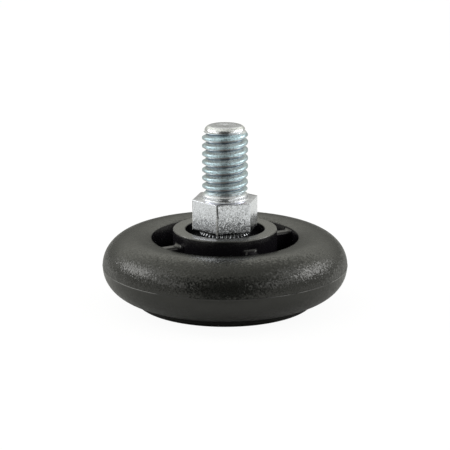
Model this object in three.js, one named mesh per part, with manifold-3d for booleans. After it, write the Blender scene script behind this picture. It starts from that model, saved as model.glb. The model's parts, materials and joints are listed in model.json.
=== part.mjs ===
// Swivel levelling foot: a threaded stud with a wrench hexagon, pressed into a plastic ball that
// turns inside a round two-part base. Millimetres, +Z up, the floor at z = 0, the stud's axis on Z.
import * as THREE from "three";
import { mergeVertices } from "three/addons/utils/BufferGeometryUtils.js";
import Module from "manifold-3d";

const SIDES = 64; // flats in a full circle
const FINE_STEPS = 8; // straight lengths in a curve seen from outside
const COARSE_STEPS = 4; // straight lengths in a small or hidden curve
const ROUND = 2; // superellipse power of a plain ellipse
const UPRIGHT = Math.PI / 2;
const OVERLAP = 0.5; // how far joined solids run into each other

// Base, outside
const BASE_R = 21.43;
const SEAM_Z = 6.73; // widest level, where the two shells meet
const SEAM_GAP = 0.06;
const CROWN_R = 15.6; // circle of the highest points of the rim
const CROWN_Z = 11.97;
const BELLY_R = 14.75; // where the lower curve would run level
const BELLY_Z = 1.19;
const BELLY_POWER = 2.1;
const BOSS_R = 15.83; // flat disc that stands on the floor
const BOSS_EDGE_R = 0.64;

// Trough between rim and hub, open between the ribs
const TROUGH_R = 12.86;
const TROUGH_LIP_Z = 11.5;
const LIP_POWER = 1.6; // the rim slopes gently in from its crown to the trough
const SKIRT_R = 14.66; // outside of the wall that hangs from the crown
const SHELL_FLOOR_Z = 6.9; // lowest level of skirt, hub and ribs
const RIB_COUNT = 4;
const RIB_WIDTH = 2.1;
const RIB_TOP_Z = 11.05;
const RIB_BOTTOM_Z = 7.3;
const RIB_TURN = THREE.MathUtils.degToRad(28);

// Walls
const TOP_WALL_R = 19.23; // inside of the upper shell at the seam
const TOP_WALL_Z = 8.4;
const TOP_ROOF_Z = 9.99;
const LIP_R = 19.13; // ring of the lower shell that locates the upper one
const LIP_INNER_R = 18.0;
const LIP_Z = 8.2;
const DISH_R = 19.0;
const DISH_Z = 5.6;
const DISH_FLOOR_R = 13.2;
const DISH_FLOOR_Z = 2.2;

// Hub and ball socket
const HUB_R = 9.09;
const HUB_TOP_Z = 13.1;
const HUB_EDGE = 0.25;
const MOUTH_R = 6.905;
const MOUTH_EDGE = 0.195;
const BALL_Z = 6.9; // centre of the ball
const BALL_R = 7.3;
const SEAT_R = 7.4;
const CUP_TOP_Z = 6.6;
const CUP_FLOOR_Z = 1.6;
const BALL_TOP_Z = 9.5;
const BALL_BOTTOM_Z = 2.5;
const BORE_R = 4.5;
const BORE_FLOOR_Z = 3.9;

// Stud
const SHANK_R = 4.4;
const SHANK_BOTTOM_Z = 4.1;
const SHANK_CHAMFER = 0.5;
const KNURL_TEETH = 36;
const KNURL_DEPTH = 0.2;
const HEX_CORNER_R = 5.96; // 10.3 across the flats
const HEX_BOTTOM_Z = 13.14;
const HEX_TOP_Z = 18.5;
const HEX_TURN = THREE.MathUtils.degToRad(16.6);
const COLLAR_R = 3.95;
const COLLAR_Z = 19.2;
const RUNOUT_Z = 19.9;
const STUD_TOP_Z = 31.35;
const STUD_END_R = 2.6;
const POINT_R = 3.57; // outside of the rounded lead-in
const POINT_Z = 30.4;
const POINT_POWER = 1.8;

// 5/16-18 UNC thread, right-handed
const PITCH = 1.4111;
const CREST_R = 3.97;
const SHOULDER_R = 3.86;
const ROOT_R = 3.15;
const CREST_HALF = 0.13;
const SHOULDER_HALF = 0.25;
const CREST_Z = 28.43; // height of a crest on the +X side
const RUNOUT_HALF = 0.4; // half the height over which the thread fades out
const CLEAR_R = CREST_R + 0.1; // just outside the crests
const THREAD_TURNS = 12;
const THREAD_SIDES = 32;

const wasm = await Module();
wasm.setup();

// A closed geometry as a solid that can be joined and cut.
function toSolid(geometry) {
  geometry.deleteAttribute("normal");
  geometry.deleteAttribute("uv");
  const merged = mergeVertices(geometry, 1e-4);
  const corners = merged.index.array;
  const kept = [];
  for (let i = 0; i < corners.length; i += 3) {
    const [a, b, c] = corners.slice(i, i + 3);
    if (a !== b && b !== c && c !== a) kept.push(a, b, c);
  }
  return new wasm.Manifold(
    new wasm.Mesh({
      numProp: 3,
      vertProperties: merged.attributes.position.array,
      triVerts: new Uint32Array(kept),
    }),
  );
}

// A named mesh of a solid.
function toMesh(name, solid, material) {
  const cut = solid.getMesh();
  const geometry = new THREE.BufferGeometry();
  geometry.setAttribute("position", new THREE.BufferAttribute(cut.vertProperties, 3));
  geometry.setIndex(new THREE.BufferAttribute(cut.triVerts, 1));
  geometry.computeVertexNormals();
  const mesh = new THREE.Mesh(geometry, material);
  mesh.name = name;
  return mesh;
}

// A solid turned about Z from [radius, height] points, run so that material is on their left.
function turned(profile, sides = SIDES, turn = 0) {
  const points = profile.map(([r, z]) => new THREE.Vector2(r, z));
  const geometry = new THREE.LatheGeometry(points, sides, turn + Math.PI / 2);
  geometry.rotateX(Math.PI / 2);
  return toSolid(geometry);
}

// Angles from one value to another in even steps, both ends included.
function sweep(from, to, steps) {
  return Array.from({ length: steps + 1 }, (_, i) => from + ((to - from) * i) / steps);
}

// Points of a superellipse quarter about [r, z]: from level with it at 0 to beside it at a right
// angle, or the other way round.
function quarter([r, z], width, height, power, steps, from = 0, to = UPRIGHT) {
  return sweep(from, to, steps).map((t) => {
    const across = Math.max(0, Math.cos(t)) ** (2 / power);
    const along = Math.max(0, Math.sin(t)) ** (2 / power);
    return [r + width * across, z + height * along];
  });
}

// Points of an arc about the ball's centre, between two heights.
function ballArc(radius, fromZ, toZ) {
  const from = Math.asin((fromZ - BALL_Z) / radius);
  const to = Math.asin((toZ - BALL_Z) / radius);
  return sweep(from, to, COARSE_STEPS).map((t) => [
    radius * Math.cos(t),
    BALL_Z + radius * Math.sin(t),
  ]);
}

// Rim of the upper shell: the rounded crown and the skirt that walls the trough.
function rim() {
  const seam = SEAM_Z + SEAM_GAP / 2;
  const crownSize = [BASE_R - CROWN_R, CROWN_Z - SEAM_Z];
  const crown = quarter([CROWN_R, SEAM_Z], ...crownSize, ROUND, FINE_STEPS);
  const lipSize = [TROUGH_R - CROWN_R, CROWN_Z - TROUGH_LIP_Z];
  const lip = quarter([CROWN_R, TROUGH_LIP_Z], ...lipSize, LIP_POWER, COARSE_STEPS, UPRIGHT, 0);
  const roofSize = [TOP_WALL_R - SKIRT_R, TOP_ROOF_Z - TOP_WALL_Z];
  const roof = quarter([SKIRT_R, TOP_WALL_Z], ...roofSize, ROUND, COARSE_STEPS, UPRIGHT, 0);
  return turned([
    [TOP_WALL_R, seam],
    [BASE_R, seam],
    ...crown.slice(1),
    ...lip.slice(1),
    [TROUGH_R, SHELL_FLOOR_Z],
    [SKIRT_R, SHELL_FLOOR_Z],
    ...roof,
    [TOP_WALL_R, seam],
  ]);
}

// Hub of the upper shell: the raised ring, its mouth and the upper half of the ball seat.
function hub() {
  return turned([
    [SEAT_R, SHELL_FLOOR_Z],
    [HUB_R, SHELL_FLOOR_Z],
    [HUB_R, HUB_TOP_Z - HUB_EDGE],
    [HUB_R - HUB_EDGE, HUB_TOP_Z],
    [MOUTH_R + MOUTH_EDGE, HUB_TOP_Z],
    [MOUTH_R, HUB_TOP_Z - MOUTH_EDGE],
    ...ballArc(SEAT_R, BALL_Z + Math.sqrt(SEAT_R ** 2 - MOUTH_R ** 2), SHELL_FLOOR_Z),
  ]);
}

// One rib along +X, with its ends inside the hub's wall and the skirt.
function rib() {
  const from = HUB_R - OVERLAP;
  const to = TROUGH_R + OVERLAP;
  const box = new THREE.BoxGeometry(to - from, RIB_WIDTH, RIB_TOP_Z - RIB_BOTTOM_Z);
  box.translate((from + to) / 2, 0, (RIB_TOP_Z + RIB_BOTTOM_Z) / 2);
  return box;
}

function topShell() {
  let shell = rim().add(hub());
  for (let i = 0; i < RIB_COUNT; i++) {
    const angle = RIB_TURN + (i * 2 * Math.PI) / RIB_COUNT;
    shell = shell.add(toSolid(rib().rotateZ(angle)));
  }
  return shell;
}

// Lower shell: floor disc, rounded belly, locating lip and the lower half of the ball seat.
function bottomShell() {
  const seam = SEAM_Z - SEAM_GAP / 2;
  const bellyRun = BASE_R - BELLY_R;
  const share = (BOSS_R - BELLY_R) / bellyRun;
  const bellyStart = Math.acos(share ** (BELLY_POWER / 2));
  const bellySize = [bellyRun, BELLY_Z - SEAM_Z];
  const belly = quarter([BELLY_R, SEAM_Z], ...bellySize, BELLY_POWER, FINE_STEPS, bellyStart, 0);
  const edgeCentre = [BOSS_R - BOSS_EDGE_R, BOSS_EDGE_R];
  const edge = quarter(edgeCentre, BOSS_EDGE_R, -BOSS_EDGE_R, ROUND, COARSE_STEPS, UPRIGHT, 0);
  const dishSize = [DISH_R - DISH_FLOOR_R, DISH_FLOOR_Z - DISH_Z];
  const dish = quarter([DISH_FLOOR_R, DISH_Z], ...dishSize, BELLY_POWER, COARSE_STEPS);
  return turned([
    [0, 0],
    ...edge,
    ...belly.slice(0, -1),
    [BASE_R, seam],
    [LIP_R, seam],
    [LIP_R, LIP_Z],
    [LIP_INNER_R, LIP_Z],
    [LIP_INNER_R, (SEAM_Z + DISH_Z) / 2],
    ...dish,
    [HUB_R, DISH_FLOOR_Z],
    [HUB_R, CUP_TOP_Z],
    ...ballArc(SEAT_R, CUP_TOP_Z, CUP_FLOOR_Z),
    [0, CUP_FLOOR_Z],
  ]);
}

function swivelBall() {
  return turned([
    [0, BALL_BOTTOM_Z],
    ...ballArc(BALL_R, BALL_BOTTOM_Z, BALL_TOP_Z),
    [BORE_R, BALL_TOP_Z],
    [BORE_R, BORE_FLOOR_Z],
    [0, BORE_FLOOR_Z],
  ]);
}

// Knurled shank: straight teeth all round, bevelled at the lower end.
function shank() {
  const outline = new THREE.Shape();
  for (let i = 0; i < 2 * KNURL_TEETH; i++) {
    const angle = (i * Math.PI) / KNURL_TEETH;
    const radius = i % 2 ? SHANK_R - KNURL_DEPTH : SHANK_R;
    const point = [radius * Math.cos(angle), radius * Math.sin(angle)];
    if (i) outline.lineTo(...point);
    else outline.moveTo(...point);
  }
  const depth = HEX_BOTTOM_Z + 2 * OVERLAP - SHANK_BOTTOM_Z;
  const teeth = new THREE.ExtrudeGeometry(outline, { depth, bevelEnabled: false });
  teeth.translate(0, 0, SHANK_BOTTOM_Z);
  const envelope = turned([
    [0, SHANK_BOTTOM_Z],
    [SHANK_R - SHANK_CHAMFER, SHANK_BOTTOM_Z],
    [SHANK_R + SHANK_CHAMFER, SHANK_BOTTOM_Z + 2 * SHANK_CHAMFER],
    [SHANK_R + SHANK_CHAMFER, HEX_BOTTOM_Z + OVERLAP],
    [0, HEX_BOTTOM_Z + OVERLAP],
  ]);
  return toSolid(teeth).intersect(envelope);
}

// A long right-handed screw whose crest passes +X at CREST_Z; its ragged ends are cut away later.
function screw() {
  const section = [
    [-PITCH / 2, ROOT_R],
    [-SHOULDER_HALF, SHOULDER_R],
    [-CREST_HALF, CREST_R],
    [CREST_HALF, CREST_R],
    [SHOULDER_HALF, SHOULDER_R],
  ];
  const rows = THREAD_TURNS * section.length;
  const firstCrestZ = CREST_Z - (THREAD_TURNS - 3) * PITCH;
  const points = [];
  for (let i = 0; i < THREAD_SIDES; i++) {
    const angle = (i * 2 * Math.PI) / THREAD_SIDES;
    const lift = (i * PITCH) / THREAD_SIDES;
    for (let row = 0; row <= rows; row++) {
      const [offset, radius] = section[row % section.length];
      const turn = Math.floor(row / section.length);
      const z = firstCrestZ + turn * PITCH + lift + offset;
      points.push(radius * Math.cos(angle), radius * Math.sin(angle), z);
    }
  }
  const at = (i, row) => {
    const wrapped = i === THREAD_SIDES;
    return (wrapped ? 0 : i) * (rows + 1) + row + (wrapped ? section.length : 0);
  };
  const faces = [];
  for (let i = 0; i < THREAD_SIDES; i++) {
    const last = i === THREAD_SIDES - 1 ? rows - section.length : rows;
    for (let row = 0; row < last; row++) {
      faces.push(at(i, row), at(i + 1, row), at(i + 1, row + 1));
      faces.push(at(i, row), at(i + 1, row + 1), at(i, row + 1));
    }
  }
  // Each end is closed by a fan from a point on the axis round the end's open edge.
  const low = points.length / 3;
  const high = low + 1;
  points.push(0, 0, firstCrestZ - PITCH, 0, 0, firstCrestZ + (THREAD_TURNS + 1) * PITCH);
  for (let i = 0; i < THREAD_SIDES - 1; i++) {
    faces.push(low, at(i + 1, 0), at(i, 0));
    faces.push(high, at(i, rows), at(i + 1, rows));
  }
  faces.push(low, at(THREAD_SIDES, 0), at(THREAD_SIDES - 1, 0));
  faces.push(high, at(THREAD_SIDES - 1, rows - section.length), at(0, rows));
  for (let row = 0; row < section.length; row++) {
    const upper = rows - section.length + row;
    faces.push(low, at(0, row), at(0, row + 1));
    faces.push(high, at(THREAD_SIDES - 1, upper + 1), at(THREAD_SIDES - 1, upper));
  }
  const geometry = new THREE.BufferGeometry();
  geometry.setAttribute("position", new THREE.Float32BufferAttribute(points, 3));
  geometry.setIndex(faces);
  return toSolid(geometry);
}

// Outline that trims the screw: a run-out cone below and a rounded lead-in at the tip.
function threadEnvelope() {
  const pointSize = [POINT_R - STUD_END_R, STUD_TOP_Z - POINT_Z];
  const point = quarter([STUD_END_R, POINT_Z], ...pointSize, POINT_POWER, COARSE_STEPS);
  return turned([
    [0, HEX_TOP_Z - OVERLAP],
    [ROOT_R, HEX_TOP_Z - OVERLAP],
    [ROOT_R, RUNOUT_Z - RUNOUT_HALF],
    [CLEAR_R, RUNOUT_Z + RUNOUT_HALF],
    [CLEAR_R, POINT_Z - RUNOUT_HALF],
    ...point,
    [0, STUD_TOP_Z],
  ], THREAD_SIDES);
}

function threadedStud() {
  const hexagon = turned([
    [0, HEX_BOTTOM_Z],
    [HEX_CORNER_R, HEX_BOTTOM_Z],
    [HEX_CORNER_R, HEX_TOP_Z],
    [0, HEX_TOP_Z],
  ], 6, HEX_TURN);
  const collar = turned([
    [0, HEX_TOP_Z - OVERLAP],
    [COLLAR_R, HEX_TOP_Z - OVERLAP],
    [COLLAR_R, COLLAR_Z],
    [ROOT_R, RUNOUT_Z],
    [0, RUNOUT_Z],
  ]);
  const thread = screw().intersect(threadEnvelope());
  return shank().add(hexagon).add(collar).add(thread);
}

const nylon = new THREE.MeshStandardMaterial({ color: 0x1c1e1c, roughness: 0.55, metalness: 0 });
const smoothNylon = new THREE.MeshStandardMaterial({ color: 0x181a18, roughness: 0.4, metalness: 0 });
const acetal = new THREE.MeshStandardMaterial({ color: 0x121214, roughness: 0.3, metalness: 0 });
const zinc = new THREE.MeshStandardMaterial({ color: 0xb9c2c6, roughness: 0.35, metalness: 0.9 });

const base = new THREE.Group();
base.name = "base";
base.add(toMesh("top_shell", topShell(), nylon));
base.add(toMesh("bottom_shell", bottomShell(), smoothNylon));

const swivel = new THREE.Group();
swivel.name = "swivel";
swivel.add(toMesh("swivel_ball", swivelBall(), acetal));
swivel.add(toMesh("threaded_stud", threadedStud(), zinc));

const foot = new THREE.Group();
foot.name = "levelling_foot";
foot.add(base, swivel);

export default foot;
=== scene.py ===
"""Looks of the swivel levelling foot: fine meshes, procedural materials, light and camera."""

import json
import math

import bmesh
import bpy
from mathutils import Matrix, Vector, noise

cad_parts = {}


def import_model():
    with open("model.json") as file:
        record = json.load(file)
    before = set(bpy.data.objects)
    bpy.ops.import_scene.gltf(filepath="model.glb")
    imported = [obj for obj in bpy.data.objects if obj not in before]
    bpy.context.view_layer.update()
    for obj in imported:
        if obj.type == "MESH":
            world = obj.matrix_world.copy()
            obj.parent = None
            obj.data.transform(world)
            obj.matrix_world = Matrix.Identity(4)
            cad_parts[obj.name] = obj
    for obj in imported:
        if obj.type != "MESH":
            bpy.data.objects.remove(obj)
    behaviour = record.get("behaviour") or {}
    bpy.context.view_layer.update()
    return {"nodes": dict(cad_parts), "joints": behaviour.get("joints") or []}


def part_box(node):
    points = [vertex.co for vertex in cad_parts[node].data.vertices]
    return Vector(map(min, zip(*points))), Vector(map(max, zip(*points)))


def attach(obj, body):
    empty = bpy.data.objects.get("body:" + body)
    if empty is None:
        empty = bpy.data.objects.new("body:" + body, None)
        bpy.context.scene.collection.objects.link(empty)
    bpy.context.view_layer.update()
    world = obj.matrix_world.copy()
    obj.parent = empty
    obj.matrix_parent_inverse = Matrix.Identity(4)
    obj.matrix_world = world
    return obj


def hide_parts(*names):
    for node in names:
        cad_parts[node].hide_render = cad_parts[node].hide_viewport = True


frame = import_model()

MM = 0.001
TAU = 2 * math.pi
SIDES = 240  # flats in a turned shell
BALL_SIDES = 128
ARC_STEPS = 5  # straight lengths in a small rounding
CURVE_STEPS = 28  # straight lengths in a large curve
SHARP_ANGLE = math.radians(38)  # edges that turn more than this stay crisp
ON_AXIS = 1e-9  # a ring smaller than this is one point
WELD = 1e-7  # points closer than this are merged after a boolean
SHORTEST = 1e-4  # keeps a division by a length finite

TOP_LOW, TOP_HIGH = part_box("top_shell")
BOTTOM_LOW, BOTTOM_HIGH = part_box("bottom_shell")
BALL_LOW, BALL_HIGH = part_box("swivel_ball")
STUD_LOW, STUD_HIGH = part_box("threaded_stud")
PIVOT_Z = frame["joints"][0]["pos_m"][2]

# Base, outside
BASE_R = TOP_HIGH.x
SEAM_Z = TOP_LOW.z
SEAM_GAP = 0.012 * MM  # the groove between the shells
CROWN_R = 15.6 * MM  # the rim is highest here
CROWN_Z = 11.97 * MM
BELLY_R = 14.75 * MM  # centre of the belly's curve
BELLY_Z = 1.19 * MM
BELLY_POWER = 2.1
BOSS_R = 15.83 * MM  # the disc that stands on the floor
BOSS_EDGE_R = 0.64 * MM

# Flash along the parting line
FLASH = 0.06 * MM  # how far it stands proud
FLASH_HEIGHT = 0.11 * MM
FLASH_OUTLINE = ((0, -1), (0.8, -0.7), (1, -0.3), (0.7, 0))  # shares of the two sizes above
FLASH_MEAN = 0.6  # share of it that is left on average round the seam
FLASH_SPREAD = 1.1
FLASH_PATCHES = 3  # how quickly it comes and goes
FLASH_SEED = 0.3

# Marks under the floor disc, as radii and heights in millimetres
GATE_MARK = (
    (0, 0.1), (0.7, 0.1), (0.75, 0.14), (0.95, 0.14),
    (1.0, 0.25), (1.6, 0.25), (1.7, 0), (1.8, 0),
)
WITNESS_RING = ((13.1, 0), (13.2, 0), (13.22, 0.14), (13.55, 0.14), (13.57, 0), (13.7, 0))

# Trough, ribs and hub
TROUGH_R = 12.86 * MM
TROUGH_MARGIN = 0.02 * MM  # faces within this of its wall are painted with it
TROUGH_LIP_Z = 11.5 * MM
LIP_POWER = 1.6
SKIRT_R = 14.66 * MM
SHELL_FLOOR_Z = PIVOT_Z
RIB_COUNT = 4
RIB_TURN = math.radians(28)
RIB_HALF_WIDTH = 0.95 * MM
RIB_TOP_Z = 11.05 * MM
RIB_BOTTOM_Z = 7.3 * MM
RIB_FILLET = 0.75 * MM
RIB_LIFT = 0.5  # how much of the fillet's flare also raises the rib's top
RIB_EDGE_R = 0.5 * MM
RIB_OVERLAP = 0.5 * MM  # how far a rib runs into the walls before the union
HUB_R = 9.09 * MM
HUB_TOP_Z = TOP_HIGH.z
HUB_EDGE_R = 0.25 * MM
MOUTH_R = 6.905 * MM
SEAT_R = 7.4 * MM

# Inside of the shells, which is hidden
TOP_WALL_R = 19.23 * MM
TOP_WALL_Z = 8.4 * MM
TOP_ROOF_Z = 9.99 * MM
LIP_R = 19.13 * MM
LIP_INNER_R = 18.0 * MM
LIP_Z = BOTTOM_HIGH.z
DISH_R = 19.0 * MM
DISH_Z = 5.6 * MM
DISH_FLOOR_R = 13.2 * MM
DISH_FLOOR_Z = 2.2 * MM
CUP_TOP_Z = 6.6 * MM
CUP_FLOOR_Z = 1.6 * MM

# Ball
BALL_R = BALL_HIGH.x
BALL_EDGE_R = 0.3 * MM
BORE_R = 4.5 * MM
BORE_FLOOR_Z = 3.9 * MM

# Stud: knurled shank and hexagon, which is turned as the CAD hexagon is
HEX_CORNER = max(
    (v.co for v in frame["nodes"]["threaded_stud"].data.vertices),
    key=lambda co: (round(co.xy.length, 6), co.x, co.y),
)
HEX_CORNER_R = HEX_CORNER.xy.length
HEX_TURN = math.atan2(HEX_CORNER.y, HEX_CORNER.x)
SHANK_R = 4.4 * MM
SHANK_CHAMFER = 0.5 * MM
KNURL_TEETH = 36
KNURL_DEPTH = 0.4 * MM
KNURL_CREST = 0.1 * MM  # how far the rolled teeth stand above the shank
KNURL_RAMP = 0.65 * MM  # length of the teeth's sloping upper ends
NECK_R = 4.1 * MM
NECK_LENGTH = 0.2 * MM
HEX_BOTTOM_Z = 13.14 * MM
HEX_TOP_Z = 18.5 * MM
HEX_EDGE = 0.06 * MM  # unit of the two eased edges below: height from the face, and inset
HEX_LOWER_EDGE = ((0, 2.5), (0.4, 0.8), (1.5, 0))
HEX_UPPER_EDGE = ((1, 0), (0.3, 0.3), (0, 1))
HEX_PLAIN = 5 * HEX_EDGE  # where the even steps up the hexagon's sides begin and end
CORNER_CUT = 0.06 * MM
CORNER_ROUND = 0.08 * MM
CORNER_DEGREES = (-1.1, -0.5, 0.5, 1.1)  # extra points on both sides of each corner

# Stud: collar, thread and point
COLLAR_R = 3.95 * MM
COLLAR_Z = 19.2 * MM
COLLAR_FILLET = 0.3 * MM
COLLAR_BLEND = 0.12 * MM
RUNOUT_Z = 19.9 * MM
COLLAR_END_Z = RUNOUT_Z + 0.5 * MM  # above this the thread stands alone
RUNOUT_START = 0.25 * MM  # how far below RUNOUT_Z the thread begins to rise from its root
RUNOUT_SLOPE = 1.6
RUNOUT_ROUND = 0.1 * MM
PITCH = 25.4 / 18 * MM  # 18 threads to the inch
CREST_R = 3.97 * MM
CREST_HALF_WIDTH = 0.2 * MM
CREST_ROUND = 0.12 * MM
CREST_Z = 28.43 * MM  # height of a crest at angle zero
FLANK_ANGLE = math.radians(30)
ROOT_R = 3.15 * MM
ROOT_ROUND = 0.26 * MM
POINT_R = 3.57 * MM
POINT_Z = 30.4 * MM
POINT_POWER = 1.8
POINT_SLOPE = 0.6  # of the cone that clears the thread below the point
POINT_BLEND = 0.08 * MM
STUD_END_R = 2.6 * MM
CENTRE_MARK = ((0.45 * MM, 0), (0.27 * MM, 0.05 * MM))  # radius and depth of a dimple in the end
CENTRE_MARK_DEPTH = 0.08 * MM
STUD_SIDES = 288
THREAD_STEP = 0.06 * MM  # between the rings of the mesh
END_STEP = 0.02 * MM  # between the last ring and the end face

# Camera
VIEW_ELEVATION = math.radians(15)
VIEW_DISTANCE = 281.4 * MM
AIM_Z = 13.59 * MM
LENS = 129  # in millimetres, like the sensor
SENSOR = 36

# Surround: brightness of its parts, and where one passes into the next
HORIZON = 0.48
BACKDROP = 1.2
BACKDROP_RISE = (12, 30)  # degrees above the level
BACKDROP_TO_SIDES = (-0.8, 0.0)  # cosine of the angle from the camera's heading
SIDES_LEVEL = 0.5
OVERHEAD_LEFT = 1.0
OVERHEAD_RIGHT = 0.64
OVERHEAD_SPLIT = (-0.3, 0.1)  # X of the direction
OVERHEAD_RISE = (38, 62)
CAMERA_SIDE = 0.06
CAMERA_SIDE_TURN = (36, 72)  # degrees of heading in front of straight sideways
CAMERA_SIDE_TOP = (76, 52)  # degrees above the level
SURROUND_TINT = (1, 1, 0.91, 1)

# Softboxes, in mirrored pairs: name, direction of the right one, width, height, radiance
SOFTBOXES = (
    ("box", (0.868, 0.17, 0.466), 0.26, 0.17, 4.7),
    ("fill", (0.74, -0.50, 0.45), 0.30, 0.12, 1.6),
    ("high_box", (0.68, 0.0, 0.73), 0.18, 0.18, 1.1),
)
SOFTBOX_DISTANCE = 0.5

# Floor, with a dark card in front of the object that only reflections see
FLOOR_SIZE = 3.0
PAPER = 0.86
PAPER_GLOW = 1.045
PAPER_GLOW_SHARE = 0.9
CARD = 0.12
CARD_START = (31 * MM, 46 * MM)
CARD_SIDES = (0.895, 0.975)  # cosine of the angle from the camera's heading
HOLE_R = BOSS_R - 1 * MM  # the floor is clear here, under the disc

# Black plastics
NOISE_SPAN = (0.3, 0.7)  # most of a noise's values lie between these
MOTTLE_SIZE = 4 * MM
MOTTLE = (0.75, 1.3)  # darkest and palest, as factors of the shade
PATCH_SIZE = 1.2 * MM
PATCH_GLOSS = 0.04
GRAIN_GLOSS = 0.05
GRAIN_DEPTH = 0.012 * MM
GRAZING = (0.5, 0.85)  # from head-on to edge-on, where the grain calms down
GRAZING_TILT = 0.25
DUST_SIZE = 1.6 * MM
DUST_EDGE = (0.05, 0.09)
DUST_SHADE = 0.35
NYLON_IOR = 1.5
SHEEN_TINT = (1.0, 0.995, 0.965, 1)
# The pale shade is partly scuffing and partly a painted highlight toward the two sides
FLASH_SHADES = (0.0115, 0.22)  # fresh and worn
FLASH_WEAR_SIZE = 5 * MM
FLASH_WEAR = (0.36, 0.56)
# Painted highlight: the flash turns pale toward the two sides
FLASH_HIGHLIGHT_SIDES = (0.25 * BASE_R, 0.6 * BASE_R)  # it shows more and more toward the two sides
ACETAL_SHADES = (0.008, 0.014)
ACETAL_IOR = 1.48
TURNING_SIZE = 1.5 * MM
TURNING_SQUEEZE = (1, 1, 12)  # lays the turning marks level

# Zinc shades: a soft cloud mixes the two of a pair
PLAIN_ZINC = ((0.725, 0.75, 0.80, 1), (0.845, 0.87, 0.925, 1))
TIP_ZINC = ((0.73, 0.75, 0.775, 1), (0.85, 0.87, 0.90, 1))
# Painted shade: the level faces, the hexagon's top and the stud's end, take the darker pair below
SHADED_FLAT_ZINC = ((0.52, 0.53, 0.585, 1), (0.61, 0.625, 0.69, 1))
# Painted light and shade on the thread's blue: paler seen head-on, deeper seen edge-on
THREAD_BLUE_LIT = (0.65, 0.87, 0.97, 1)
THREAD_BLUE_SHADED = (0.42, 0.53, 0.575, 1)
# Painted reflection of the pale floor on the undersides of the thread
FLOOR_REFLECTION_ZINC = (0.90, 0.78, 0.74, 1)  # undersides of the thread
# Painted shade in the thread's root
ROOT_SHADE_ZINC = (0.13, 0.20, 0.29, 1)
# Painted dark reflection on the hexagon's left corners
DARK_REFLECTION_ZINC = (0.20, 0.20, 0.20, 1)
# Painted highlight lower on the hexagon's left corners
CORNER_HIGHLIGHT_ZINC = (1, 1, 1, 1)
THREAD_GREY = (0.5, 0.5, 0.5, 1)  # greys the blue a little where the cloud is strong
THREAD_GREY_SHARE = 0.25

# Where each zinc shade starts and is full
LEDGE_HEIGHTS = (HEX_TOP_Z + 0.15 * MM, HEX_TOP_Z + 0.03 * MM)  # top face of the hexagon
TIP_HEIGHTS = (POINT_Z - 0.3 * MM, POINT_Z)
LEVEL_FACE = (0.90, 0.99)  # Z of the normal
UNDERSIDE = (-0.1, -0.6)
EDGE_ON = (0.30, 0.62)
ROOT_RADII = (ROOT_R + 0.20 * MM, ROOT_R + 0.02 * MM)
CORNER_RADII = (HEX_CORNER_R - CORNER_CUT - 0.05 * MM, HEX_CORNER_R - CORNER_CUT - 0.01 * MM)
CORNER_SIDE = (0, -1 * MM)  # only the corners on the left
# Heights of the painted dark reflection and the painted highlight on the left corners
DARK_REFLECTION_HEIGHTS = (HEX_TOP_Z - 2.5 * MM, HEX_TOP_Z - 1 * MM)
CORNER_HIGHLIGHT_HEIGHTS = (HEX_TOP_Z - 1.5 * MM, HEX_TOP_Z - 3 * MM)

# Zinc texture
CLOUD_SIZE = 1.4 * MM
CLOUD_GLOSS = (-0.04, 0.05)
SPECKLE_SIZE = 0.2 * MM
SPECKLE_DEPTH = 0.01 * MM
SPECKLE_STEP = (0.34, 0.54)
SPECKLE_LEVELS = (0.64, 1.0)  # darkest and palest, as factors of the shade
# Low on the hexagon the speckle is darker: a painted reflection of the black base
BASE_REFLECTION_LEVELS = (0.22, 0.84)  # the same low on the hexagon
BASE_REFLECTION_HEIGHTS = (HEX_BOTTOM_Z + 2.9 * MM, HEX_BOTTOM_Z + 0.5 * MM)
THREAD_DARKEST = 0.50
ZINC_GLOSS = (0.27, 0.17)
THREAD_GLOSS = 0.14
CORNER_HIGHLIGHT_GLOSS = 0.5
SHANK_TILT = 0.1
ZINC_TILT = 0.38
TILT_HEIGHTS = (HEX_BOTTOM_Z - 0.05 * MM, HEX_BOTTOM_Z)


# ---------------------------------------------------------------- outlines

def clamp(value, low=0.0, high=1.0):
    return max(low, min(high, value))


def soft_min(a, b, width):
    """The smaller of two values, with the corner between them rounded over a width."""
    overlap = max(width - abs(a - b), 0) / width
    return min(a, b) - overlap * overlap * width / 4


def soft_max(a, b, width):
    return -soft_min(-a, -b, width)


def sines(degrees):
    return [math.sin(math.radians(d)) for d in degrees]


def sweep(start, end, steps):
    return [start + (end - start) * i / steps for i in range(steps + 1)]


def quarter(centre, width, height, power, start=0.0, end=math.pi / 2, steps=CURVE_STEPS):
    """Points of a superellipse quarter about a (radius, height) centre."""
    points = []
    for t in sweep(start, end, steps):
        across = max(0.0, math.cos(t)) ** (2 / power)
        along = max(0.0, math.sin(t)) ** (2 / power)
        points.append((centre[0] + width * across, centre[1] + height * along))
    return points


def ball_arc(radius, start_z, end_z, steps=16):
    """Points of an arc about the ball's centre, between two heights."""
    start = math.asin((start_z - PIVOT_Z) / radius)
    end = math.asin((end_z - PIVOT_Z) / radius)
    turns = sweep(start, end, steps)
    return [(radius * math.cos(t), PIVOT_Z + radius * math.sin(t)) for t in turns]


def rounded(before, corner, after, radius, steps=ARC_STEPS):
    """Points of the rounding that replaces a corner of an outline."""
    corner = Vector(corner)
    back = (Vector(before) - corner).normalized()
    ahead = (Vector(after) - corner).normalized()
    half = back.angle(ahead) / 2
    centre = corner + (back + ahead).normalized() * radius / math.sin(half)
    first = corner + back * radius / math.tan(half) - centre
    last = corner + ahead * radius / math.tan(half) - centre
    start = math.atan2(first.y, first.x)
    turn = math.atan2(first.cross(last), first.dot(last))
    return [
        (centre.x + radius * math.cos(start + t), centre.y + radius * math.sin(start + t))
        for t in sweep(0, turn, steps)
    ]


# ---------------------------------------------------------------- meshes

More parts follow.
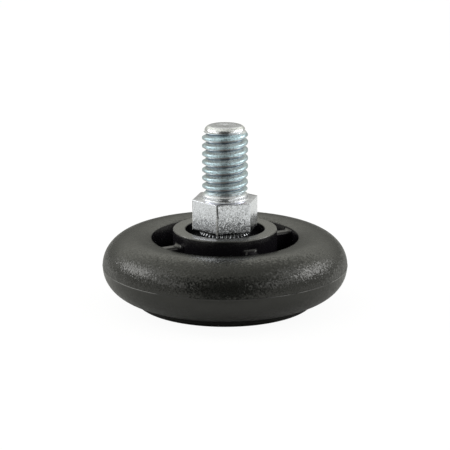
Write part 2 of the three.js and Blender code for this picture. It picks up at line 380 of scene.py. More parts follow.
def skin(bm, rings):
    """Faces between each ring of vertices and the next, which may be one point on the axis."""
    for low, high in zip(rings, rings[1:]):
        count = max(len(low), len(high))
        for i in range(count):
            j = (i + 1) % count
            if len(low) == 1:
                bm.faces.new((low[0], high[j], high[i]))
            elif len(high) == 1:
                bm.faces.new((low[i], low[j], high[0]))
            else:
                bm.faces.new((low[i], low[j], high[j], high[i]))


def turned(profile, sides=SIDES):
    """A closed surface turned about Z. The outline ends on the axis or closes on itself."""
    bm = bmesh.new()
    angles = [TAU * i / sides for i in range(sides)]
    rings = []
    for radius, z in profile:
        if radius < ON_AXIS:
            points = [(0, 0, z)]
        else:
            points = [(radius * math.cos(a), radius * math.sin(a), z) for a in angles]
        rings.append([bm.verts.new(point) for point in points])
    if profile[0][0] > 0:
        rings.append(rings[0])
    skin(bm, rings)
    return bm


def shade_smooth(bm):
    """Smooth shading everywhere except across the crisp edges."""
    for face in bm.faces:
        face.smooth = True
    for edge in bm.edges:
        edge.smooth = len(edge.link_faces) == 2 and edge.calc_face_angle(0) < SHARP_ANGLE


def add_to_scene(name, data):
    thing = bpy.data.objects.new(name, data)
    bpy.context.scene.collection.objects.link(thing)
    return thing


def make_object(name, bm):
    shade_smooth(bm)
    mesh = bpy.data.meshes.new(name)
    bm.to_mesh(mesh)
    bm.free()
    return add_to_scene(name, mesh)


def join_solids(target, others):
    """Unions other closed objects into target, and removes them."""
    for other in others:
        union = target.modifiers.new("union", "BOOLEAN")
        union.operation = "UNION"
        union.solver = "EXACT"
        union.object = other
    graph = bpy.context.evaluated_depsgraph_get()
    joined = bpy.data.meshes.new_from_object(target.evaluated_get(graph))
    target.modifiers.clear()
    target.data = joined
    for other in others:
        bpy.data.objects.remove(other)


def clean_up(thing):
    """Removes a boolean's tiny leftovers and marks the crisp edges anew."""
    bm = bmesh.new()
    bm.from_mesh(thing.data)
    bmesh.ops.remove_doubles(bm, verts=bm.verts, dist=WELD)
    bmesh.ops.dissolve_degenerate(bm, edges=bm.edges, dist=WELD)
    shade_smooth(bm)
    bm.to_mesh(thing.data)
    bm.free()


# ---------------------------------------------------------------- shells

def rim_profile():
    """Outline of the upper shell's rim: rounded crown, trough lip, skirt and hollow underside."""
    crown = quarter((CROWN_R, SEAM_Z), BASE_R - CROWN_R, CROWN_Z - SEAM_Z, 2)
    lip_size = (TROUGH_R - CROWN_R, CROWN_Z - TROUGH_LIP_Z)
    lip = quarter((CROWN_R, TROUGH_LIP_Z), *lip_size, LIP_POWER, math.pi / 2, 0, steps=14)
    foot = (TROUGH_R, SHELL_FLOOR_Z)
    roof_size = (TOP_WALL_R - SKIRT_R, TOP_ROOF_Z - TOP_WALL_Z)
    roof = quarter((SKIRT_R, TOP_WALL_Z), *roof_size, 2, math.pi / 2, 0, steps=8)
    return [
        (TOP_WALL_R, SEAM_Z),
        (BASE_R - SEAM_GAP, SEAM_Z),
        *crown[1:],
        *lip[1:],
        *rounded(lip[-1], foot, (SKIRT_R, SHELL_FLOOR_Z), HUB_EDGE_R),
        (SKIRT_R, SHELL_FLOOR_Z),
        *roof,
    ]


def hub_profile():
    """Outline of the hub: upper ball seat, outer wall, raised ring and mouth."""
    outer = (HUB_R, HUB_TOP_Z)
    inner = (MOUTH_R, HUB_TOP_Z)
    seat_top = PIVOT_Z + math.sqrt(SEAT_R ** 2 - MOUTH_R ** 2)
    return [
        (SEAT_R, SHELL_FLOOR_Z),
        (HUB_R, SHELL_FLOOR_Z),
        *rounded((HUB_R, SHELL_FLOOR_Z), outer, inner, HUB_EDGE_R),
        *rounded(outer, inner, (MOUTH_R, SHELL_FLOOR_Z), HUB_EDGE_R),
        *ball_arc(SEAT_R, seat_top, SHELL_FLOOR_Z)[:-1],
    ]


def rib_section(distance):
    """Half width and top of a rib at a distance from the axis, flared where it meets a wall."""
    gap = min(distance - HUB_R, TROUGH_R - distance)
    reach = RIB_FILLET - clamp(gap, 0, RIB_FILLET)
    flare = RIB_FILLET - math.sqrt(RIB_FILLET ** 2 - reach ** 2)
    return RIB_HALF_WIDTH + flare, RIB_TOP_Z + RIB_LIFT * flare


def make_rib(turn):
    """A closed rib with rounded top edges, filleted into the hub and the skirt."""
    bm = bmesh.new()
    fillet = [RIB_FILLET * (1 - math.cos(t)) for t in sweep(0, math.pi / 2, 6)]
    distances = [HUB_R - RIB_OVERLAP, *[HUB_R + f for f in fillet]]
    distances += [TROUGH_R - f for f in reversed(fillet)] + [TROUGH_R + RIB_OVERLAP]
    rings = []
    for distance in distances:
        half, top = rib_section(distance)
        edge_centre = (half - RIB_EDGE_R, top - RIB_EDGE_R)
        outline = [(-half, RIB_BOTTOM_Z), (half, RIB_BOTTOM_Z)]
        outline += quarter(edge_centre, RIB_EDGE_R, RIB_EDGE_R, 2, steps=4)
        outline += [(-y, z) for y, z in reversed(outline[2:])]
        points = [Vector((distance, y, z)) for y, z in outline]
        for point in points:
            point.xy = (
                point.x * math.cos(turn) - point.y * math.sin(turn),
                point.x * math.sin(turn) + point.y * math.cos(turn),
            )
        rings.append([bm.verts.new(point) for point in points])
    skin(bm, rings)
    bm.faces.new(list(reversed(rings[0])))
    bm.faces.new(rings[-1])
    bmesh.ops.recalc_face_normals(bm, faces=bm.faces)
    return make_object("rib", bm)


def make_upper_shell():
    """The rim, the hub and the ribs between them, as one moulding."""
    shell = make_object("upper_shell", turned(rim_profile()))
    hub = make_object("hub", turned(hub_profile()))
    ribs = [make_rib(RIB_TURN + TAU * i / RIB_COUNT) for i in range(RIB_COUNT)]
    join_solids(shell, [hub, *ribs])
    clean_up(shell)
    return shell


def lower_profile():
    """Outline of the lower shell: floor disc, rounded belly, locating lip, dish and ball cup."""
    seam = SEAM_Z - SEAM_GAP
    run = BASE_R - BELLY_R
    start = math.acos(((BOSS_R - BELLY_R) / run) ** (BELLY_POWER / 2))
    belly = quarter((BELLY_R, seam), run, BELLY_Z - seam, BELLY_POWER, start, 0)
    edge_centre = (BOSS_R - BOSS_EDGE_R, BOSS_EDGE_R)
    edge = quarter(edge_centre, BOSS_EDGE_R, -BOSS_EDGE_R, 2, math.pi / 2, 0, steps=8)
    dish_size = (DISH_R - DISH_FLOOR_R, DISH_FLOOR_Z - DISH_Z)
    dish = quarter((DISH_FLOOR_R, DISH_Z), *dish_size, BELLY_POWER, steps=10)
    lip_outer, lip_inner = (LIP_R, LIP_Z), (LIP_INNER_R, LIP_Z)
    return [
        *[(radius * MM, z * MM) for radius, z in GATE_MARK + WITNESS_RING],
        *edge,
        *belly[:-1],
        *[(BASE_R + out * FLASH, seam + up * FLASH_HEIGHT) for out, up in FLASH_OUTLINE],
        (LIP_R, seam),
        *rounded((LIP_R, seam), lip_outer, lip_inner, HUB_EDGE_R),
        *rounded(lip_outer, lip_inner, (LIP_INNER_R, DISH_Z), HUB_EDGE_R),
        (LIP_INNER_R, (SEAM_Z + DISH_Z) / 2),
        *dish,
        (HUB_R, DISH_FLOOR_Z),
        *rounded((HUB_R, DISH_FLOOR_Z), (HUB_R, CUP_TOP_Z), (SEAT_R, CUP_TOP_Z), HUB_EDGE_R),
        *ball_arc(SEAT_R, CUP_TOP_Z, CUP_FLOOR_Z),
        (0, CUP_FLOOR_Z),
    ]


def make_lower_shell():
    """The lower shell, whose parting-line flash comes and goes round the seam."""
    bm = turned(lower_profile())
    for vertex in bm.verts:
        radius = vertex.co.xy.length
        if radius > BASE_R + FLASH / 2:
            way = vertex.co.xy.normalized() * FLASH_PATCHES
            wander = FLASH_SPREAD * noise.noise((way.x, way.y, FLASH_SEED))
            share = clamp(FLASH_MEAN + wander)
            vertex.co.xy *= (BASE_R + share * (radius - BASE_R)) / radius
    return make_object("lower_shell", bm)


def make_ball():
    """The truncated ball, with eased edges at its flats and its bore."""
    low, high = BALL_LOW.z, BALL_HIGH.z
    arc = ball_arc(BALL_R, low, high, 24)
    cut = 4  # steps of the arc that the eased edge takes up at each end
    return make_object("ball", turned([
        (0, low),
        *rounded((0, low), arc[0], arc[cut], BALL_EDGE_R),
        *arc[cut:-cut],
        *rounded(arc[-cut], arc[-1], (BORE_R, high), BALL_EDGE_R),
        *rounded(arc[-1], (BORE_R, high), (BORE_R, BORE_FLOOR_Z), BALL_EDGE_R),
        (BORE_R, BORE_FLOOR_Z),
        (0, BORE_FLOOR_Z),
    ], BALL_SIDES))


# ---------------------------------------------------------------- stud

def stud_angles():
    """Angles round the stud: even steps from a corner of the hexagon, closer near each corner."""
    angles = {TAU * i / STUD_SIDES for i in range(STUD_SIDES)}
    for corner in range(6):
        for offset in CORNER_DEGREES:
            angles.add((TAU * corner / 6 + math.radians(offset)) % TAU)
    return [HEX_TURN + a for a in sorted(angles)]


def hex_radius(angle, inset):
    """Distance to the hexagon's side at an angle, with its corners slightly rounded."""
    across = (angle - HEX_TURN) % (TAU / 6) - TAU / 12
    side = (HEX_CORNER_R * math.cos(TAU / 12) - inset) / math.cos(across)
    return soft_min(side, HEX_CORNER_R - CORNER_CUT - inset, CORNER_ROUND)


def knurl_radius(angle, height=1.0):
    """Straight knurl, whose teeth stand up from the neck by a share of their height."""
    phase = (angle - HEX_TURN) * KNURL_TEETH / TAU % 1
    tooth = SHANK_R + KNURL_CREST - KNURL_DEPTH * abs(2 * phase - 1)
    return NECK_R + (tooth - NECK_R) * height


def thread_radius(angle, z):
    """Right-hand rolled thread: broad rounded crests and a narrow root."""
    phase = ((z - CREST_Z) / PITCH - angle / TAU + 0.5) % 1 - 0.5
    away = abs(phase) * PITCH
    flank = CREST_R - (away - CREST_HALF_WIDTH) / math.tan(FLANK_ANGLE)
    return soft_max(soft_min(flank, CREST_R, CREST_ROUND), ROOT_R, ROOT_ROUND)


def point_radius(z):
    """Outline of the stud's rounded lead-in, and a cone that clears the thread below it."""
    if z < POINT_Z:
        return POINT_R + POINT_SLOPE * (POINT_Z - z)
    share = (z - POINT_Z) / (STUD_HIGH.z - POINT_Z)
    bulge = clamp(1 - share ** POINT_POWER) ** (1 / POINT_POWER)
    return STUD_END_R + (POINT_R - STUD_END_R) * bulge


def upper_radius(angle, z):
    """Outline of the stud above the hexagon: collar, run-out, thread and rounded lead-in."""
    taper = (COLLAR_R - ROOT_R) / (RUNOUT_Z - COLLAR_Z)
    collar = COLLAR_R - max(0, z - COLLAR_Z) * taper
    start = ROOT_R + (z - RUNOUT_Z + RUNOUT_START) * RUNOUT_SLOPE
    threaded = min(thread_radius(angle, z), soft_max(start, ROOT_R, RUNOUT_ROUND))
    threaded = soft_min(threaded, point_radius(z), POINT_BLEND)
    return soft_max(threaded, collar, COLLAR_BLEND) if z < COLLAR_END_Z else threaded


def shank_rows():
    """Heights and radius rules of the shank: chamfered end, knurl, its sloping ends and neck."""
    bottom = STUD_LOW.z
    top = HEX_BOTTOM_Z - NECK_LENGTH
    rows = [
        (bottom, lambda a: SHANK_R - SHANK_CHAMFER),
        (bottom + SHANK_CHAMFER, knurl_radius),
    ]
    for z in sweep(bottom + 2 * SHANK_CHAMFER, top - KNURL_RAMP, 8):
        rows.append((z, knurl_radius))
    for share in sweep(0.8, 0, 4):
        rows.append((top - share * KNURL_RAMP, lambda a, share=share: knurl_radius(a, share)))
    rows.append((HEX_BOTTOM_Z, lambda a: NECK_R))
    return rows


def hexagon_rows():
    """Heights and radius rules of the hexagon, which are worked out from insets of its sides."""
    insets = [(HEX_BOTTOM_Z + up * HEX_EDGE, inset * HEX_EDGE) for up, inset in HEX_LOWER_EDGE]
    insets += [(z, 0) for z in sweep(HEX_BOTTOM_Z + HEX_PLAIN, HEX_TOP_Z - HEX_PLAIN, 8)]
    insets += [(HEX_TOP_Z - down * HEX_EDGE, inset * HEX_EDGE) for down, inset in HEX_UPPER_EDGE]
    return [(z, lambda a, inset=inset: hex_radius(a, inset)) for z, inset in insets]


def upper_rows():
    """Heights and radius rules above the hexagon: fillet, collar, thread, point and end face."""
    rows = []
    for t in sweep(0, math.pi / 2, 4):
        z = HEX_TOP_Z + COLLAR_FILLET * (1 - math.cos(t))
        out = COLLAR_FILLET * (1 - math.sin(t))
        rows.append((z, lambda a, out=out: COLLAR_R + out))
    first = HEX_TOP_Z + 2 * COLLAR_FILLET
    last = STUD_HIGH.z - END_STEP
    for z in sweep(first, last, round((last - first) / THREAD_STEP)):
        rows.append((z, lambda a, z=z: upper_radius(a, z)))
    for radius, depth in ((STUD_END_R, 0), *CENTRE_MARK):
        rows.append((STUD_HIGH.z - depth, lambda a, radius=radius: radius))
    return rows


def make_stud():
    """The stud as one closed surface of stacked rings, each a radius rule round the axis."""
    bm = bmesh.new()
    angles = stud_angles()
    rings = [[bm.verts.new((0, 0, STUD_LOW.z))]]
    for z, rule in shank_rows() + hexagon_rows() + upper_rows():
        points = [(rule(a) * math.cos(a), rule(a) * math.sin(a), z) for a in angles]
        rings.append([bm.verts.new(point) for point in points])
    rings.append([bm.verts.new((0, 0, STUD_HIGH.z - CENTRE_MARK_DEPTH))])
    skin(bm, rings)
    return make_object("stud", bm)


# ---------------------------------------------------------------- shader helpers

def feed(tree, socket, value):
    """Sets an input to a value, or wires it to the output socket that is given."""
    if isinstance(value, bpy.types.NodeSocket):
        tree.links.new(value, socket)
    else:
        socket.default_value = value


def add_node(tree, kind, inputs=None, **settings):
    """A shader node with its settings and inputs."""
    node = tree.nodes.new(kind)
    for key, value in settings.items():
        setattr(node, key, value)
    for key, value in (inputs or {}).items():
        feed(tree, node.inputs[key], value)
    return node


def calc(tree, operation, a, b=0.0):
    return add_node(tree, "ShaderNodeMath", {0: a, 1: b}, operation=operation).outputs[0]


def add(tree, a, b):
    return calc(tree, "ADD", a, b)


def multiply(tree, a, b):
    return calc(tree, "MULTIPLY", a, b)


def remap(tree, value, low, high, to_low=0.0, to_high=1.0):
    """Takes low..high smoothly to to_low..to_high, and holds the ends. Low may be above high."""
    inputs = {
        "Value": value,
        "From Min": low,
        "From Max": high,
        "To Min": to_low,
        "To Max": to_high,
    }
    node = add_node(tree, "ShaderNodeMapRange", inputs, interpolation_type="SMOOTHSTEP")
    return node.outputs["Result"]


def blend_colour(tree, share, a, b, mode="MIX"):
    inputs = {0: share, 6: a, 7: b}
    return add_node(tree, "ShaderNodeMix", inputs, data_type="RGBA", blend_type=mode).outputs[2]


def blend(tree, share, a, b):
    return add_node(tree, "ShaderNodeMix", {0: share, 2: a, 3: b}).outputs[0]


def blend_shaders(tree, share, a, b):
    inputs = {0: share, 1: a.outputs[0], 2: b.outputs[0]}
    return add_node(tree, "ShaderNodeMixShader", inputs)


def noise_at(tree, vector, size, detail=2.0, roughness=0.5, output="Fac"):
    """Noise whose features are about size metres across."""
    inputs = {"Vector": vector, "Scale": 1 / size, "Detail": detail, "Roughness": roughness}
    return add_node(tree, "ShaderNodeTexNoise", inputs).outputs[output]


def vector_calc(tree, operation, a, b):
    inputs = {0: a, 1: b}
    return add_node(tree, "ShaderNodeVectorMath", inputs, operation=operation).outputs[0]


def parts(tree, vector):
    return add_node(tree, "ShaderNodeSeparateXYZ", {0: vector}).outputs[0:3]


def level_length(tree, vector):
    """Length of a vector's level part, which is the distance from the axis for a place."""
    level = vector_calc(tree, "MULTIPLY", vector, (1, 1, 0))
    node = add_node(tree, "ShaderNodeVectorMath", {0: level}, operation="LENGTH")
    return node.outputs["Value"]


def bump(tree, height, distance, strength, normal=None):
    inputs = {"Height": height, "Distance": distance, "Strength": strength}
    if normal is not None:
        inputs["Normal"] = normal
    return add_node(tree, "ShaderNodeBump", inputs).outputs[0]


def surface(tree, output):
    return add_node(tree, "ShaderNodeNewGeometry").outputs[output]


def facing(tree):
    """How edge-on the surface is seen: 0 is head-on."""
    return add_node(tree, "ShaderNodeLayerWeight").outputs["Facing"]


def seen_by_camera(tree):
    return add_node(tree, "ShaderNodeLightPath").outputs["Is Camera Ray"]


def grey(value):
    return (value, value, value, 1.0)


def scaled(shade, factor):
    return (*[channel * factor for channel in shade], 1)


def empty_material(name):
    material = bpy.data.materials.new(name)
    material.use_nodes = True
    material.node_tree.nodes.clear()
    return material, material.node_tree


def object_coords(tree):
    return add_node(tree, "ShaderNodeTexCoord").outputs["Object"]


def principled(tree, values):
    return add_node(tree, "ShaderNodeBsdfPrincipled", values)


def diffuse(tree, colour):
    return add_node(tree, "ShaderNodeBsdfDiffuse", {"Color": colour})


def set_surface(tree, shader):
    output = add_node(tree, "ShaderNodeOutputMaterial", {"Surface": shader.outputs[0]})
    output.is_active_output = True


# ---------------------------------------------------------------- materials

def dust(tree, coords, amount):
    """Scattered pale specks: the centres of cells, only in a few of the cells."""
    cells = add_node(tree, "ShaderNodeTexVoronoi", {"Vector": coords, "Scale": 1 / DUST_SIZE})
    near = remap(tree, cells.outputs["Distance"], *DUST_EDGE, 1, 0)
    chosen = add_node(tree, "ShaderNodeSeparateColor", {0: cells.outputs["Color"]}).outputs[0]
    return multiply(tree, near, calc(tree, "LESS_THAN", chosen, amount))


def sparkle(tree, coords, size, amount):
    """The surface normal, scattered at random from grain to grain."""
    grain = noise_at(tree, coords, size, 1.0, 0.6, "Color")
    factor = {0: vector_calc(tree, "SUBTRACT", grain, (0.5, 0.5, 0.5)), "Scale": amount}
    scattered = add_node(tree, "ShaderNodeVectorMath", factor, operation="SCALE").outputs[0]
    tilted = vector_calc(tree, "ADD", surface(tree, "Normal"), scattered)
    return add_node(tree, "ShaderNodeVectorMath", {0: tilted}, operation="NORMALIZE").outputs[0]


def plastic(name, shade, rough, grain_size, grain_tilt, speck_share, level=0.5, dimming=0.0):
    """Moulded black nylon: mottled shade, uneven gloss, a fine grain and a few dust specks.

    Seen edge-on, the grain tilts less, and a share of the surface (dimming) has no sheen.
    """
    material, tree = empty_material(name)
    coords = object_coords(tree)
    grazing = remap(tree, facing(tree), *GRAZING)
    mottle = noise_at(tree, coords, MOTTLE_SIZE, 4)
    colour = blend_colour(tree, mottle, *[scaled(shade, factor) for factor in MOTTLE])
    colour = blend_colour(tree, dust(tree, coords, speck_share), colour, grey(DUST_SHADE))
    grain = noise_at(tree, coords, grain_size, 2, 0.6)
    patches = noise_at(tree, coords, PATCH_SIZE, 3)
    gloss = add(tree, remap(tree, patches, *NOISE_SPAN, -PATCH_GLOSS, PATCH_GLOSS), rough)
    gloss = add(tree, gloss, remap(tree, grain, *NOISE_SPAN, GRAIN_GLOSS, -GRAIN_GLOSS))
    tilt = blend(tree, grazing, grain_tilt, GRAZING_TILT * grain_tilt)
    shader = principled(tree, {
        "Base Color": colour,
        "Roughness": gloss,
        "Normal": bump(tree, grain, GRAIN_DEPTH, 1.0, sparkle(tree, coords, grain_size, tilt)),
        "IOR": NYLON_IOR,
        "Specular IOR Level": level,
        "Specular Tint": SHEEN_TINT,
    })
    plain = diffuse(tree, scaled(shade, 1))
    set_surface(tree, blend_shaders(tree, multiply(tree, grazing, dimming), shader, plain))
    return material


def flash():
    """The scuffed, paler edge along the parting line, which comes and goes; toward the two sides
    the paleness is also a painted highlight.
    """
    material, tree = empty_material("nylon_flash")
    coords = object_coords(tree)
    pale_share = remap(tree, noise_at(tree, coords, FLASH_WEAR_SIZE, 3), *FLASH_WEAR)
    # Painted highlight toward the two sides, on top of the scuffing
    lit_side = remap(tree, calc(tree, "ABSOLUTE", parts(tree, coords)[0]), *FLASH_HIGHLIGHT_SIDES)
    share = multiply(tree, pale_share, lit_side)
    colour = blend_colour(tree, share, *[grey(value) for value in FLASH_SHADES])
    values = {"Base Color": colour, "Roughness": 0.45, "IOR": NYLON_IOR}
    set_surface(tree, principled(tree, values))
    return material


def acetal():
    """Smooth black acetal with faint turning marks."""
    material, tree = empty_material("acetal_black")
    squeezed = vector_calc(tree, "MULTIPLY", object_coords(tree), TURNING_SQUEEZE)
    rings = noise_at(tree, squeezed, TURNING_SIZE, 3)
    set_surface(tree, principled(tree, {
        "Base Color": blend_colour(tree, rings, *[grey(value) for value in ACETAL_SHADES]),
        "Roughness": remap(tree, rings, *NOISE_SPAN, 0.24, 0.34),
        "Normal": bump(tree, rings, 0.01 * MM, 0.5),
        "IOR": ACETAL_IOR,
    }))
    return material


def thread_colour(tree, cloud, radius, facing_up):
    """Bluish zinc with painted light and shade: paler head-on, deeper edge-on, a painted floor
    reflection on the undersides, painted shade in the root.
    """
    # Painted light and shade: paler seen head-on, deeper seen edge-on
    edge_on = remap(tree, facing(tree), *EDGE_ON)
    blue = blend_colour(tree, edge_on, THREAD_BLUE_LIT, THREAD_BLUE_SHADED)
    blue = blend_colour(tree, multiply(tree, cloud, THREAD_GREY_SHARE), blue, THREAD_GREY)
    # Painted reflection of the pale floor on the undersides
    blue = blend_colour(tree, remap(tree, facing_up, *UNDERSIDE), blue, FLOOR_REFLECTION_ZINC)
    # Painted shade in the root
    return blend_colour(tree, remap(tree, radius, *ROOT_RADII), blue, ROOT_SHADE_ZINC)


def zinc_colour(tree, cloud, z, radius, facing_up, on_thread, on_tip):
    """Zinc shades of the hexagon, of the thread, and of the tip, with painted shade on the
    hexagon's top face and the tip's end.
    """
    plain, tip, shaded_flat = [
        blend_colour(tree, cloud, *pair) for pair in (PLAIN_ZINC, TIP_ZINC, SHADED_FLAT_ZINC)
    ]
    # Painted shade on the level faces: the hexagon's top and the stud's end
    level_face = remap(tree, facing_up, *LEVEL_FACE)
    ledge = multiply(tree, level_face, remap(tree, z, *LEDGE_HEIGHTS))
    plain = blend_colour(tree, ledge, plain, shaded_flat)
    tip = blend_colour(tree, level_face, tip, shaded_flat)
    thread = thread_colour(tree, cloud, radius, facing_up)
    colour = blend_colour(tree, on_thread, plain, thread)
    return blend_colour(tree, on_tip, colour, tip)


def speckled(tree, colour, speckle, z, on_thread):
    """A colour with dark speckle, darkest low on the hexagon as a painted reflection of the black
    base.
    """
    # Painted reflection of the black base, low on the hexagon
    base_reflection = remap(tree, z, *BASE_REFLECTION_HEIGHTS)
    darkest, palest = [blend(tree, base_reflection, *pair) for pair in zip(SPECKLE_LEVELS, BASE_REFLECTION_LEVELS)]
    darkest = blend(tree, on_thread, darkest, THREAD_DARKEST)
    level = blend(tree, remap(tree, speckle, *SPECKLE_STEP), darkest, palest)
    levels = add_node(tree, "ShaderNodeCombineColor", {0: level, 1: level, 2: level}).outputs[0]
    return blend_colour(tree, 1.0, colour, levels, "MULTIPLY")


def zinc():
    """Bright zinc plating: speckled and neutral on the hexagon, bluish on the thread."""
    material, tree = empty_material("zinc_plate")
    coords = object_coords(tree)
    x, _, z = parts(tree, coords)
    radius = level_length(tree, coords)
    facing_up = parts(tree, surface(tree, "Normal"))[2]
    cloud = noise_at(tree, coords, CLOUD_SIZE, 4)
    speckle = noise_at(tree, coords, SPECKLE_SIZE, 2, 0.6)
    on_tip = remap(tree, z, *TIP_HEIGHTS)
    on_thread = calc(tree, "SUBTRACT", remap(tree, z, COLLAR_Z, RUNOUT_Z), on_tip)
    colour = zinc_colour(tree, cloud, z, radius, facing_up, on_thread, on_tip)

    # The hexagon's corners on the left have a painted dark reflection above and a painted
    # highlight below
    corner = multiply(tree, remap(tree, radius, *CORNER_RADII), remap(tree, x, *CORNER_SIDE))
    dark_reflection = multiply(tree, corner, remap(tree, z, *DARK_REFLECTION_HEIGHTS))
    pale_share = multiply(tree, corner, remap(tree, z, *CORNER_HIGHLIGHT_HEIGHTS))
    colour = blend_colour(tree, dark_reflection, colour, DARK_REFLECTION_ZINC)
    colour = blend_colour(tree, pale_share, colour, CORNER_HIGHLIGHT_ZINC)

    gloss = remap(tree, speckle, *NOISE_SPAN, *ZINC_GLOSS)
    gloss = add(tree, gloss, remap(tree, cloud, *NOISE_SPAN, *CLOUD_GLOSS))
    gloss = add(tree, gloss, multiply(tree, on_thread, THREAD_GLOSS))
    gloss = add(tree, gloss, multiply(tree, pale_share, CORNER_HIGHLIGHT_GLOSS))
    tilt = remap(tree, z, *TILT_HEIGHTS, SHANK_TILT, ZINC_TILT)
    scattered = sparkle(tree, coords, SPECKLE_SIZE, tilt)
    set_surface(tree, principled(tree, {
        "Base Color": speckled(tree, colour, speckle, z, on_thread),
        "Metallic": 1.0,
        "Roughness": gloss,
        "Normal": bump(tree, speckle, SPECKLE_DEPTH, 1.0, scattered),
    }))
    return material


# ---------------------------------------------------------------- stage

def toward_camera(tree, vector):
    """Cosine of the angle between a vector's heading and the camera's."""
    length = calc(tree, "MAXIMUM", level_length(tree, vector), SHORTEST)
    return calc(tree, "DIVIDE", multiply(tree, parts(tree, vector)[1], -1.0), length)


def world():
    """Soft studio surround, bright behind and above, dimmer beside and dark round the camera.

    The camera itself sees plain white.
    """
    sky = bpy.data.worlds.new("studio")
    bpy.context.scene.world = sky
    sky.use_nodes = True
    tree = sky.node_tree
    tree.nodes.clear()
    way = add_node(tree, "ShaderNodeTexCoord").outputs["Generated"]
    x, _, z = parts(tree, way)
    toward = toward_camera(tree, way)
    light = remap(tree, z, *sines(BACKDROP_RISE), HORIZON, BACKDROP)
    light = blend(tree, remap(tree, toward, *BACKDROP_TO_SIDES), light, SIDES_LEVEL)
    overhead = remap(tree, x, *OVERHEAD_SPLIT, OVERHEAD_LEFT, OVERHEAD_RIGHT)
    light = blend(tree, remap(tree, z, *sines(OVERHEAD_RISE)), light, overhead)
    front = remap(tree, toward, *sines(CAMERA_SIDE_TURN))
    low = remap(tree, z, *sines(CAMERA_SIDE_TOP))
    light = blend(tree, multiply(tree, front, low), light, CAMERA_SIDE)
    surround = add_node(tree, "ShaderNodeBackground", {"Color": SURROUND_TINT, "Strength": light})
    white = add_node(tree, "ShaderNodeBackground", {"Color": grey(1), "Strength": 1.0})
    mix = blend_shaders(tree, seen_by_camera(tree), surround, white)
    add_node(tree, "ShaderNodeOutputWorld", {"Surface": mix.outputs[0]})


def turn_from(thing, back):
    """Turns a light or camera to look along -Z away from the direction behind it."""
    thing.rotation_euler = back.to_track_quat("Z", "Y").to_euler()


def softbox(name, way, width, height, radiance):
    """A rectangular area light that faces the object from a direction."""
    data = bpy.data.lights.new(name, "AREA")
    data.shape = "RECTANGLE"
    data.size = width
    data.size_y = height
    data.energy = radiance * math.pi * width * height
    light = add_to_scene(name, data)
    back = Vector(way).normalized()
    light.location = Vector((0, 0, HUB_TOP_Z)) + back * SOFTBOX_DISTANCE
    turn_from(light, back)
    light.visible_camera = False


def softboxes():
    """The softboxes on the left and their mirror images on the right."""
    for name, (x, y, z), width, height, radiance in SOFTBOXES:
        softbox(f"left_{name}", (-x, y, z), width, height, radiance)
        softbox(f"right_{name}", (x, y, z), width, height, radiance)


def floor():
    """A plain pale floor, which the camera sees almost evenly lit.

    Only the object's reflections see the dark card on it. It is clear from below and in a hole
    under the floor disc.
    """
    bm = bmesh.new()
    half = FLOOR_SIZE / 2
    corners = ((-half, -half), (half, -half), (half, half), (-half, half))
    bm.faces.new([bm.verts.new((x, y, BOTTOM_LOW.z)) for x, y in corners])
    plane = make_object("floor", bm)
    material, tree = empty_material("floor_paper")
    spot = surface(tree, "Position")
    reach = level_length(tree, spot)
    ahead = remap(tree, toward_camera(tree, spot), *CARD_SIDES)
    on_card = multiply(tree, remap(tree, reach, *CARD_START), ahead)
    card = diffuse(tree, blend_colour(tree, on_card, grey(PAPER), grey(CARD)))
    paper = diffuse(tree, grey(PAPER))
    glow = add_node(tree, "ShaderNodeEmission", {"Color": grey(1), "Strength": PAPER_GLOW})
    lit = blend_shaders(tree, PAPER_GLOW_SHARE, paper, glow)
    shown = blend_shaders(tree, seen_by_camera(tree), card, lit)
    in_hole = calc(tree, "LESS_THAN", reach, HOLE_R)
    away = calc(tree, "MAXIMUM", surface(tree, "Backfacing"), in_hole)
    clear = add_node(tree, "ShaderNodeBsdfTransparent")
    set_surface(tree, blend_shaders(tree, away, shown, clear))
    plane.data.materials.append(material)


def camera():
    """A camera a little above the level, far away with a long lens."""
    data = bpy.data.cameras.new("camera")
    data.lens = LENS
    data.sensor_width = SENSOR
    cam = add_to_scene("camera", data)
    back = Vector((0, -math.cos(VIEW_ELEVATION), math.sin(VIEW_ELEVATION)))
    cam.location = Vector((0, 0, AIM_Z)) + back * VIEW_DISTANCE
    turn_from(cam, back)
    bpy.context.scene.camera = cam


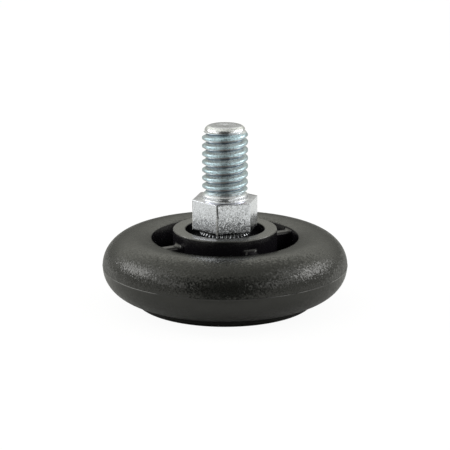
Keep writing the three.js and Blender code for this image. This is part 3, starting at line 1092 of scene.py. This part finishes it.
# ---------------------------------------------------------------- pieces

def set_materials(thing, *materials):
    for material in materials:
        thing.data.materials.append(material)


def place(thing, body, node):
    """Puts a piece on its body in place of its CAD node."""
    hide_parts(node)
    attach(thing, body)


def finish_upper_shell():
    """The upper shell: fine-grained outside, smoother ring and trough, with painted shade in the
    trough's darker, less glossy nylon.
    """
    shell = make_upper_shell()
    textured = plastic(
        "nylon_textured", (0.0085, 0.0090, 0.0082), rough=0.27,
        grain_size=0.32 * MM, grain_tilt=0.70, speck_share=0.010, dimming=0.46,
    )
    ring = plastic(
        "nylon_ring", (0.0110, 0.0112, 0.0107), rough=0.28,
        grain_size=0.30 * MM, grain_tilt=0.15, speck_share=0.006, level=1.0,
    )
    # Painted shade: the trough's nylon is a little darker and bluer, with less sheen
    trough = plastic(
        "nylon_trough_shaded", (0.0078, 0.0070, 0.0092), rough=0.24,
        grain_size=0.34 * MM, grain_tilt=0.10, speck_share=0.0, level=0.36,
    )
    set_materials(shell, textured, ring, trough)
    for face in shell.data.polygons:
        radius = face.center.xy.length
        if radius < HUB_R and face.center.z > HUB_TOP_Z - HUB_EDGE_R:
            face.material_index = 1
        elif radius < TROUGH_R + TROUGH_MARGIN:
            face.material_index = 2
    place(shell, "foot", "top_shell")


def finish_lower_shell():
    """The lower shell, smooth, with its paler flash."""
    shell = make_lower_shell()
    smooth = plastic(
        "nylon_smooth", (0.0115, 0.0118, 0.0110), rough=0.36,
        grain_size=0.34 * MM, grain_tilt=0.24, speck_share=0.006,
    )
    set_materials(shell, smooth, flash())
    for face in shell.data.polygons:
        if face.center.xy.length > BASE_R and face.center.z > SEAM_Z - 1.5 * FLASH_HEIGHT:
            face.material_index = 1
    place(shell, "foot", "bottom_shell")


finish_upper_shell()
finish_lower_shell()

ball = make_ball()
set_materials(ball, acetal())
place(ball, "ball", "swivel_ball")

stud = make_stud()
set_materials(stud, zinc())
place(stud, "stud", "threaded_stud")

world()
softboxes()
floor()
camera()
bpy.context.scene.view_settings.view_transform = "Standard"
